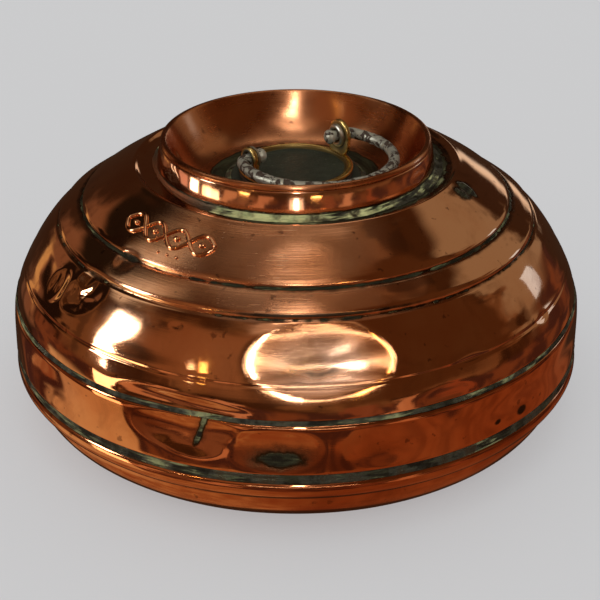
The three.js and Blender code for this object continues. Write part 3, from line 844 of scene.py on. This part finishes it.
def build_bush(paint):
    bore, barrel, root = 17.5, 21.0, 18.92
    steps = np.linspace(FLANGE_Z - 1.3, BUSH_LOW, 76)
    profile = np.vstack([
        outline([(bore, BUSH_LOW), (barrel, BUSH_LOW)],
                [(barrel, BUSH_LOW + 0.2), (barrel, FLOOR_Z)],
                [(barrel + 0.3, FLOOR_Z + 0.05), (FLANGE_R - 0.1, FLOOR_Z + 0.05)],
                [(FLANGE_R, FLOOR_Z + 0.3), (FLANGE_R, FLANGE_Z - 0.35)],
                [(FLANGE_R - 0.4, FLANGE_Z), (19.1, FLANGE_Z)],
                [(18.8, FLANGE_Z - 0.05), (bore, FLANGE_Z - 1.2)], blur=0.12, step=1.0),
        np.column_stack([np.full(len(steps), bore), steps])])

    def form(theta, r, z):
        cut = ridge_height(theta, z, bore, root, 1.95, 1.3, BUSH_LOW + 0.5, FLANGE_Z + 4, 0.6)
        return (np.where(r < bore + 0.01, cut, r), z,
                {"crust": 0.75, "worn": 0.1 * near(r, 24.9, 0.6)})

    piece(revolve("neck_bush_brass", profile, 192, form), "vessel", paint, "neck_brass",
          "neck_bush")


def build_stopper(paint):
    core, crest, thread_top, rows = 17.0, 18.6, 94.9, 84
    lower = outline(
        [(0, 94.3), (12.3, 94.3)], [(12.9, 94.1), (13.5, 93.3)], [(13.5, 93.0), (13.9, 82.9)],
        [(14.2, PLUG_LOW), (15.9, PLUG_LOW)], [(16.2, PLUG_LOW + 0.15), (core, 83.4)],
        blur=0.15, step=1.0)
    head = outline(
        [(core, 94.95), (core, WASHER_HIGH + 0.05)],
        [(17.2, WASHER_HIGH + 0.06), (21.3, WASHER_HIGH + 0.08)],
        [(21.6, WASHER_HIGH + 0.2), (21.8, 96.0), (22.2, 96.3), (HEAD_R, 96.9),
         (HEAD_R - 0.15, 97.45), (21.9, 97.8), (21.3, HEAD_Z), (20.6, 97.85), (19.9, 97.35),
         (19.3, 96.8), (18.7, 96.42)],
        [(18.2, 96.35), (0, 96.2)], blur=0.14, step=0.6)
    lower[0, 0] = 0
    head[-1, 0] = 0
    thread = np.column_stack([np.full(rows, core), np.linspace(PLUG_LOW + 1.0, thread_top, rows)])
    profile = np.vstack([lower[:-1], thread, head])
    dings = random_field(30, 1.5, 51)

    def form(theta, r, z):
        cut = ridge_height(theta, z, core, crest, 1.8, 0.7, 84.4, 93.4, 0.5)
        on_core = (np.abs(r - core) < 0.01) & (z < thread_top) & (z > PLUG_LOW + 0.9)
        rim = near(r, 21.2, 1.6) * smooth_step(96.3, 97, z)
        settled = 0.16 * (dings(theta, r) - 0.5) * rim
        bright = near(r, 21.1, 2.3) * smooth_step(96.0, 96.9, z)
        recess = smooth_step(19.6, 18.2, r) * smooth_step(95.5, 96.1, z)
        # Painted shade: the wall under the rolled rim is made dark and green through the crust
        # mask, standing for the shadow of the rim; the recess floor's dark green is the cup's own
        # verdigris.
        shade = smooth_step(97.2, 96.2, z) * smooth_step(20.5, 21.5, r)
        masks = {"worn": np.clip(bright * (0.75 + 0.5 * dings(theta, z)), 0, 1),
                 "crust": strongest(0.95 * recess, 0.8 * shade)}
        return np.where(on_core, cut, r - settled), z - np.abs(settled), masks

    piece(revolve("stopper_brass_body", profile, 288, form), "stopper", paint, "stopper_brass",
          "stopper_body")


def build_washer(paint):
    hole, bulge = 19.1, 0.12
    profile = outline(
        [(hole, WASHER_LOW), (WASHER_R - 0.2, WASHER_LOW)],
        [(WASHER_R - 0.1, WASHER_LOW + 0.1), (WASHER_R + bulge, WASHER_LOW + 0.6),
         (WASHER_R - 0.1, WASHER_HIGH - 0.1)],
        [(WASHER_R - 0.2, WASHER_HIGH), (hole, WASHER_HIGH)],
        [(19.05, WASHER_HIGH - 0.1), (19.05, WASHER_LOW + 0.1)], blur=0.1, step=0.5)
    ragged = random_field(60, 0.7, 61)

    def form(theta, r, z):
        return r + 0.12 * (ragged(theta, z) - 0.7) * smooth_step(20, 21.5, r), z, {}

    piece(revolve("leather_washer", profile[:-1], 240, form), "washer", paint, "washer_leather",
          "sealing_washer")


def in_ear_frame(points):
    """Turns (along the bail's axis, across it, height) into the CAD frame's (x, y, z)."""
    p = np.asarray(points, float)
    along = np.array(EAR_AXIS) * 1.0
    across = np.array((-EAR_AXIS.y, EAR_AXIS.x, 0.0))
    return p[:, :1] * along + p[:, 1:2] * across + p[:, 2:] * np.array((0, 0, 1.0))


EYE_R = 2.75  # radius of the ears' eyes and the bail's washers' holes


def build_ear(side, paint):
    """A rounded lug brazed over the stopper's rim, with an eye for the bail."""
    name = "right" if side > 0 else "left"
    crown = 6.1 if side > 0 else 4.7
    around, across = 96, 15
    face_mid, thick, rim_r = 21.6, 0.9, 21.9
    a, b = circle(around)[:, None], circle(across)[None, :]
    c, s, cb, sb = np.cos(a), np.sin(a), np.cos(b), np.sin(b)
    foot = np.maximum((s + 0.2) / -0.8, 0)
    outer_r = crown + 2.2 * foot**1.6
    squared_c, squared_s = (np.copysign(np.abs(wave) ** 0.42, wave) for wave in (cb, sb))
    rad = (outer_r + EYE_R) / 2 + (outer_r - EYE_R) / 2 * squared_c
    t = rad * c * (1 + 0.22 * foot * (cb > 0))
    h = EAR_Z + rad * s
    h = np.where(foot > 0, np.maximum(h, 97.4 - 0.5 * (np.abs(t) > 5)), h)
    off = thick * squared_s * (1 + 0.9 * foot**2 * np.maximum(cb, 0))
    lean = rim_r - np.sqrt(np.maximum(rim_r**2 - t * t, 0))
    points = point_rows(side * (face_mid + off - 0.85 * lean * foot), side * t, h)
    worn = 0.25 + 0.75 * np.maximum(cb, 0) * np.where(s > -0.4, 1, 0.4)
    crust = 0.15 + 0.45 * (cb < 0.2) * (np.abs(sb) > 0.6) + 0 * a
    faces = grid_faces(around, across, True, -1)
    made = mesh_object(f"brass_ear_{name}", in_ear_frame(points), faces,
                       {"worn": worn, "crust": crust})
    piece(made, "stopper", paint, "stopper_brass", f"stopper_ear_{name}")


# ---- bail ----
def bail_line(step=0.35):
    """The bail's centre line at rest: in through an ear, a tight corner, and round."""
    tip, corner_start, corner_r, big, off = 14.4, 23.3, 3.1, 29.0, 14.0
    turn = math.radians(61)
    corner = [(corner_start + corner_r * math.sin(a), corner_r * (1 - math.cos(a)))
              for a in np.linspace(0, turn, 7)]
    start = math.atan2(corner[-1][1] + 1.5 - off, corner[-1][0] + 1)
    turns = np.linspace(start, math.pi - start, 23)
    arc = [(big * math.cos(a), off + big * math.sin(a)) for a in turns]
    half = [(tip, 0), (17.5, 0), (20.5, 0), *corner]
    return curve_through([*half, *arc, *[(-x, y) for x, y in reversed(half)]], step)


def build_bail(paint):
    line = bail_line()
    across = headings(line)[:, ::-1] * (1, -1)
    sides, wire_r, knob_out = 28, 2.1, 0.75
    along = lengths_to(line)[:, None]
    rough = random_field(9, 1.6, 71)
    fine = random_field(17, 0.7, 72)
    end = np.minimum(along, along[-1] - along)
    knob = knob_out * np.exp(-((end - 2.0) / 1.5) ** 2)
    cap = np.sqrt(np.maximum(1 - (1 - np.minimum(end / 1.6, 1)) ** 2, 0.0004))
    a = circle(sides)[None, :]
    grain = 0.22 * (rough(a, along) - 0.5) + 0.14 * (fine(a, along) - 0.5)
    r = (wire_r + knob + grain * (0.4 + 0.6 * smooth_step(7.5, 9.5, end))) * cap
    points = point_rows(line[:, :1] + across[:, :1] * r * np.cos(a),
                        -line[:, 1:] - across[:, 1:] * r * np.cos(a), EAR_Z + r * np.sin(a))
    made = mesh_object("bail_wire_steel", in_ear_frame(points), tube_faces(len(line), sides, 1))
    piece(made, "bail", paint, "bail_steel", "bail_wire")


def build_bail_washer(side, paint):
    name = "right" if side > 0 else "left"
    section = outline(
        [(EYE_R, 0), (4.4, 0)], [(4.6, 0.15), (4.4, 0.85), (3.7, 1.35), (3.0, 1.25)],
        [(2.8, 1.1), (EYE_R, 0.1)], blur=0.08, step=0.25)[:-1]
    around, outer_face = 64, 20.4
    a = circle(around)[:, None]
    r, h = section.T
    points = point_rows(side * (outer_face - h), r * np.cos(a), EAR_Z + r * np.sin(a))
    worn = 0.4 + 0.6 * smooth_step(0.7, 1.3, h) + 0 * a
    faces = grid_faces(around, len(section), True, -side)
    made = mesh_object(f"bail_ring_{name}", in_ear_frame(points), faces, {"worn": worn})
    piece(made, "bail", paint, "bail_washer_steel", f"bail_washer_{name}")


# ---- assembly ----
dome_copper = copper("copper_dome", (0.88, 0.48, 0.27), (0.76, 0.34, 0.16), 0.06, 0.04, 0.45)
# The band and the pan get darker, redder copper than the dome: partly the metal's own tone,
# partly painted shade on the lower pieces.
band_copper = copper("copper_band", (0.82, 0.38, 0.18), (0.68, 0.25, 0.10), 0.05, 0.03, 0.5)
pan_copper = copper("copper_pan", (0.80, 0.36, 0.17), (0.62, 0.22, 0.09), 0.10, 0.07, 0.6)
bowl_copper = copper("copper_bowl", (0.80, 0.38, 0.19), (0.64, 0.24, 0.10), 0.24, 0.10, 0.7,
                     paleness=0.10, grain=0.85, hairlines=0.2)
collar_copper = copper("copper_collar", (0.92, 0.53, 0.32), (0.84, 0.42, 0.23), 0.10, 0.05,
                       0.35, hairlines=0.15)
seam_solder = solder_paint("seam_verdigris", 1.5)
funnel_solder = solder_paint("pale_verdigris", 3.2)
stopper_brass = brass("aged_brass", (0.72, 0.53, 0.19), (0.18, 0.14, 0.055), 0.22)
neck_brass = brass("tarnished_brass", (0.40, 0.32, 0.15), (0.08, 0.072, 0.04), 0.4)
ring_metal = brass("worn_nickel", (0.66, 0.65, 0.55), (0.26, 0.25, 0.19), 0.28)

build_dome(dome_copper)
build_ornament(dome_copper)
build_band(band_copper)
build_pan(pan_copper)
build_solder("seam_solder_upper", "upper_seam_solder", seam_solder, 81, 0.1, 720,
             [(LAP_R + 0.1, 49.05), (111.7, 49.1), (111.42, 49.6), (LAP_R + 0.15, 50.5),
              (LAP_R + 0.05, 50.5)])
build_solder("seam_solder_lower", "lower_seam_solder", seam_solder, 83, 0.14, 720,
             [(112.1, 26.5), (112.75, 26.2), (113.0, 27.3), (112.85, 28.6), (112.95, 29.8),
              (112.1, 29.8)])
build_bowl(bowl_copper)
build_collar(collar_copper)
build_solder("gutter_solder", "funnel_solder", funnel_solder, 85, 0.16, 540,
             [(53.75, 98.65), (56.9, 98.7), (55.0, 99.15), (53.8, 100.1)], rubbed=(-68, 42))
build_bush(neck_brass)
build_solder("bush_solder_ring", "bush_solder", seam_solder, 87, 0.1, 360,
             [(FLANGE_R + 0.05, 92.65), (27.6, 92.7), (26.2, 93.0), (FLANGE_R + 0.05, 93.5)])
build_stopper(stopper_brass)
build_washer(oiled_leather())
for side in (1, -1):
    build_ear(side, stopper_brass)
    build_bail_washer(side, ring_metal)
build_bail(plated_wire())


# ---- stage ----
def direction(azimuth, elevation):
    """The unit vector from the origin towards that azimuth and elevation, in degrees."""
    a, e = math.radians(azimuth), math.radians(elevation)
    return Vector((math.sin(a) * math.cos(e), -math.cos(a) * math.cos(e), math.sin(e)))


def build_floor():
    half, drop = 6000.0, -0.2
    corners = [(x * half, y * half, drop) for x, y in ((-1, -1), (1, -1), (1, 1), (-1, 1))]
    floor = mesh_object("floor", corners, [(0, 1, 2, 3)])
    grey = (0.30, 0.30, 0.302)
    paint = Paint("pale_floor")
    floor.data.materials.append(paint.finish(
        Base_Color=paint.mix(paint.noise(30, 2), [c * 0.99 for c in grey], grey),
        Metallic=0.0, Roughness=0.9, Specular_IOR_Level=0.0, Emission_Color=(0.99, 0.99, 1.0, 1),
        Emission_Strength=0.372))
    floor.visible_glossy = False


# What the polished copper mirrors, drawn in this order over the walls and the table top:
# colour, azimuths, elevations, softness of the edge in degrees.
ROOM_PATCHES = (
    ((0.078, 0.033, 0.013), (18, 98), (10, 66), 4),
    ((0.016, 0.010, 0.006), (-180, -120), (-22, 52), 4),
    ((0.48, 0.36, 0.28), (-24, 26), (53, 77), 5),
    ((0.23, 0.11, 0.055), (-64, -12), (18, 50), 6),
    ((0.28, 0.21, 0.14), (103, 138), (4, 48), 3),
    ((0.55, 0.28, 0.15), (-62, -50), (-17, 6), 1),
    ((0.20, 0.09, 0.05), (-47, -38), (-17, 6), 1),
    ((0.50, 0.24, 0.13), (-33, -22), (-17, 6), 1),
    ((0.20, 0.07, 0.035), (20, 28), (-17, 6), 1),
    ((0.52, 0.26, 0.14), (35, 47), (-17, 6), 1),
    ((0.24, 0.07, 0.03), (58, 64), (-17, 6), 1),
    ((0.20, 0.10, 0.055), (-150, -122), (-16, 26), 3),
    ((0.014, 0.007, 0.004), (-124, -107), (0, 38), 2),
    ((0.62, 0.40, 0.16), (-139, -127), (-7, 8), 2),
    ((0.66, 0.48, 0.27), (-108, -62), (-44, -14), 3),
    ((0.80, 0.74, 0.64), (-112, -94), (38, 60), 4),
)


def build_room():
    """A large dim shell that only polished metal sees: the brown room round the table."""
    columns, rows, radius = 64, 33, 5.0
    tilt = np.linspace(-math.pi / 2, math.pi / 2, rows)[:, None]
    turn = circle(columns)[None, :]
    points = point_rows(np.cos(tilt) * np.sin(turn), -np.cos(tilt) * np.cos(turn), np.sin(tilt))
    room = mesh_object("room", points * radius / MM, grid_faces(rows, columns, False, -1))
    paint = Paint("room_glow")
    x, y, height = paint.split(paint.place)
    azimuth = paint.math("DEGREES", paint.math("ARCTAN2", x, y * -1.0))
    azimuth = azimuth + paint.between(paint.noise(1.1, 3, 0.5), 0.2, 0.8, -7.0, 7.0)
    elevation = paint.math("DEGREES", paint.math("ARCSINE", paint.math("DIVIDE", height, radius)))

    def span(value, start, end, soft):
        return (paint.between(value, start - soft, start + soft)
                * paint.between(value, end + soft, end - soft))

    def patch(colour, glow, azimuths, elevations, soft):
        return paint.mix(span(azimuth, *azimuths, soft) * span(elevation, *elevations, soft),
                         colour, glow)

    clutter = paint.between(paint.noise(0.5, 4, 0.5), 0.49, 0.54)
    detail = paint.between(paint.noise(1.6, 3, 0.5), 0.52, 0.56)
    walls = paint.mix(clutter, (0.048, 0.020, 0.008), (0.17, 0.085, 0.040))
    walls = paint.mix(detail * 0.5, walls, (0.022, 0.011, 0.006))
    table = paint.mix(paint.between(azimuth, -60, 50), (0.46, 0.25, 0.11), (0.18, 0.060, 0.024))
    table = paint.mix(paint.between(paint.noise(2.5, 4), 0.35, 0.65), table, (0.26, 0.09, 0.035))
    low = paint.mix(paint.between(paint.noise(1.3, 3), 0.42, 0.62), (0.060, 0.024, 0.018),
                    (0.17, 0.062, 0.028))
    colour = paint.mix(paint.between(elevation, 6, -2), walls, low)
    edge = (elevation + paint.between(paint.noise(0.8, 2), 0.2, 0.8, -6.0, 6.0)
            - paint.between(azimuth, 12, 50, 0.0, 13.0))
    colour = paint.mix(paint.between(edge, -29.5, -30.5), colour, table)
    colour = paint.mix(paint.between(elevation, 58, 80), colour, (0.15, 0.105, 0.08))
    for place in ROOM_PATCHES:
        colour = patch(colour, *place)
    far = span(paint.math("ABSOLUTE", azimuth), 140, 400, 5)
    colour = paint.mix(far * span(elevation, -80, 40, 6), colour, (0.040, 0.020, 0.011))
    colour = paint.mix(far * span(elevation, 56, 76, 5), colour, (0.75, 0.62, 0.50))
    colour = patch(colour, (0.85, 0.76, 0.62), (150, 172), (1, 7), 2)
    glow = paint.signal("ShaderNodeEmission", {"Color": colour})
    paint.put(paint.tree.nodes["Material Output"].inputs["Surface"], glow)
    room.data.materials.append(paint.material)
    for ray in ("camera", "diffuse", "shadow", "transmission", "volume_scatter"):
        setattr(room, f"visible_{ray}", False)


def softbox(name, azimuth, elevation, size, glow, colour, shape="RECTANGLE", distance=2.4):
    """A lamp distance metres away that only shows in polished surfaces. glow is how bright it
    looks there, whatever its size."""
    light = bpy.data.lights.new(name, "AREA")
    light.shape = shape
    light.size, light.size_y = size
    light.energy = 4 * size[0] * size[1] * glow
    light.color = colour
    lamp = place_light(name, light, azimuth, elevation, distance)
    lamp.visible_diffuse = False
    return lamp


def place_light(name, light, azimuth, elevation, distance=0.0):
    """A light at that distance from the origin, shining on it."""
    lamp = bpy.data.objects.new(name, light)
    bpy.context.scene.collection.objects.link(lamp)
    way = direction(azimuth, elevation)
    lamp.location = way * distance
    lamp.rotation_mode = "QUATERNION"
    lamp.rotation_quaternion = way.to_track_quat("Z", "Y")
    return lamp


def shine(lamp, state, *names):
    """Lets a lamp light only the named pieces ("INCLUDE"), or all but them ("EXCLUDE")."""
    group = bpy.data.collections.new(f"{lamp.name}_pieces")
    for name in names:
        group.objects.link(bpy.data.objects[name])
    for linked in group.collection_objects:
        linked.light_linking.link_state = state
    lamp.light_linking.receiver_collection = group


DAYLIGHT = (1.0, 0.93, 0.84)
GOLD = (1.0, 0.70, 0.25)
# name, azimuth, elevation, size in metres, glow, colour, then shape and distance
ROOM_LAMPS = (
    ("window_low", -70, -7, (0.62, 0.66), 2.6, (1.0, 0.84, 0.60), "RECTANGLE", 2.2),
    ("lamp_front", 1, 36, (0.15, 0.55), 20.0, (1.0, 0.93, 0.86)),
    ("lamp_high", 3, 72, (0.34, 0.5), 2.0, (1.0, 0.9, 0.82)),
    ("lamp_right", 117, 11, (0.34, 0.50), 0.9, (0.40, 0.66, 1.0)),
    ("lamp_gold", -37, 26, (0.15, 0.04), 15.0, (1.0, 0.68, 0.22), "ELLIPSE"),
    ("lamp_gold_low", -42.5, 22.5, (0.14, 0.03), 15.0, (1.0, 0.86, 0.62), "ELLIPSE"),
)
COLLAR_LAMPS = (
    ("collar_window", -87, -5, (0.36, 0.8), 6.0, DAYLIGHT),
    ("collar_panel", -101, -6, (0.50, 0.8), 0.5, (1.0, 0.60, 0.50)),
    ("collar_sash", -114, -5, (0.05, 0.8), 2.5, DAYLIGHT),
    ("collar_jamb", -119, -5, (0.05, 0.8), 1.8, DAYLIGHT),
    ("collar_pane", -72, -6, (0.22, 0.8), 1.1, (1.0, 0.70, 0.50)),
    ("collar_strip", 0.5, -4, (0.15, 0.75), 8.5, (1.0, 0.93, 0.86)),
    ("collar_glow", 0.5, -4, (0.46, 0.75), 1.1, (1.0, 0.80, 0.66)),
    ("collar_gold_left", -41, 8, (0.34, 0.05), 16.0, GOLD, "ELLIPSE"),
    ("collar_gold_right", 16.5, 8, (0.34, 0.05), 16.0, GOLD, "ELLIPSE"),
)
WALL_LAMPS = (
    ("edge_gleam", 2, 62, (1.7, 0.06), 9.0, (1.0, 0.90, 0.80)),
    ("bead_gleam", 2, 13, (1.7, 0.06), 4.0, (1.0, 0.90, 0.80)),
)
DOME_LAMPS = (
    ("dent_glint", 12, 33, (1.5, 0.11), 5.0, (1.0, 0.86, 0.70)),
    ("dent_gold", 24, 34, (0.09, 0.52), 9.0, (1.0, 0.66, 0.25)),
)


def build_lights():
    window = softbox("window_left", -77, 22, (0.42, 0.66), 11.0, (0.97, 0.98, 1.0), distance=2.2)
    shine(window, "EXCLUDE", "copper_bowl")
    for lamp in ROOM_LAMPS:
        softbox(*lamp)
    for lamps, names in ((COLLAR_LAMPS, ["copper_collar"]), (DOME_LAMPS, ["copper_dome"]),
                         (WALL_LAMPS, ["copper_band", "copper_pan"])):
        for lamp in lamps:
            shine(softbox(*lamp), "INCLUDE", *names)
    sun = bpy.data.lights.new("soft_key", "SUN")
    sun.energy, sun.angle, sun.color = 0.68, math.radians(60), (1.0, 0.99, 0.97)
    place_light("soft_key", sun, -8, 52).visible_glossy = False
    world = bpy.data.worlds.new("studio")
    bpy.context.scene.world = world
    world.use_nodes = True
    sky = world.node_tree.nodes["Background"]
    sky.inputs["Color"].default_value = (0.93, 0.935, 0.95, 1)
    sky.inputs["Strength"].default_value = 0.65


def build_camera():
    camera = bpy.data.cameras.new("camera")
    camera.lens, camera.sensor_width = 83.3, 36
    camera.clip_start = 0.01
    elevation, distance = 27.9, 0.5676
    shot = bpy.data.objects.new("camera", camera)
    bpy.context.scene.collection.objects.link(shot)
    target = Vector((0.0016, 0, 0.0378))
    back = direction(0, elevation)
    shot.location = target + back * distance
    shot.rotation_mode = "QUATERNION"
    shot.rotation_quaternion = back.to_track_quat("Z", "Y")
    bpy.context.scene.camera = shot


build_floor()
build_room()
build_lights()
build_camera()
bpy.context.scene.view_settings.view_transform = "Standard"
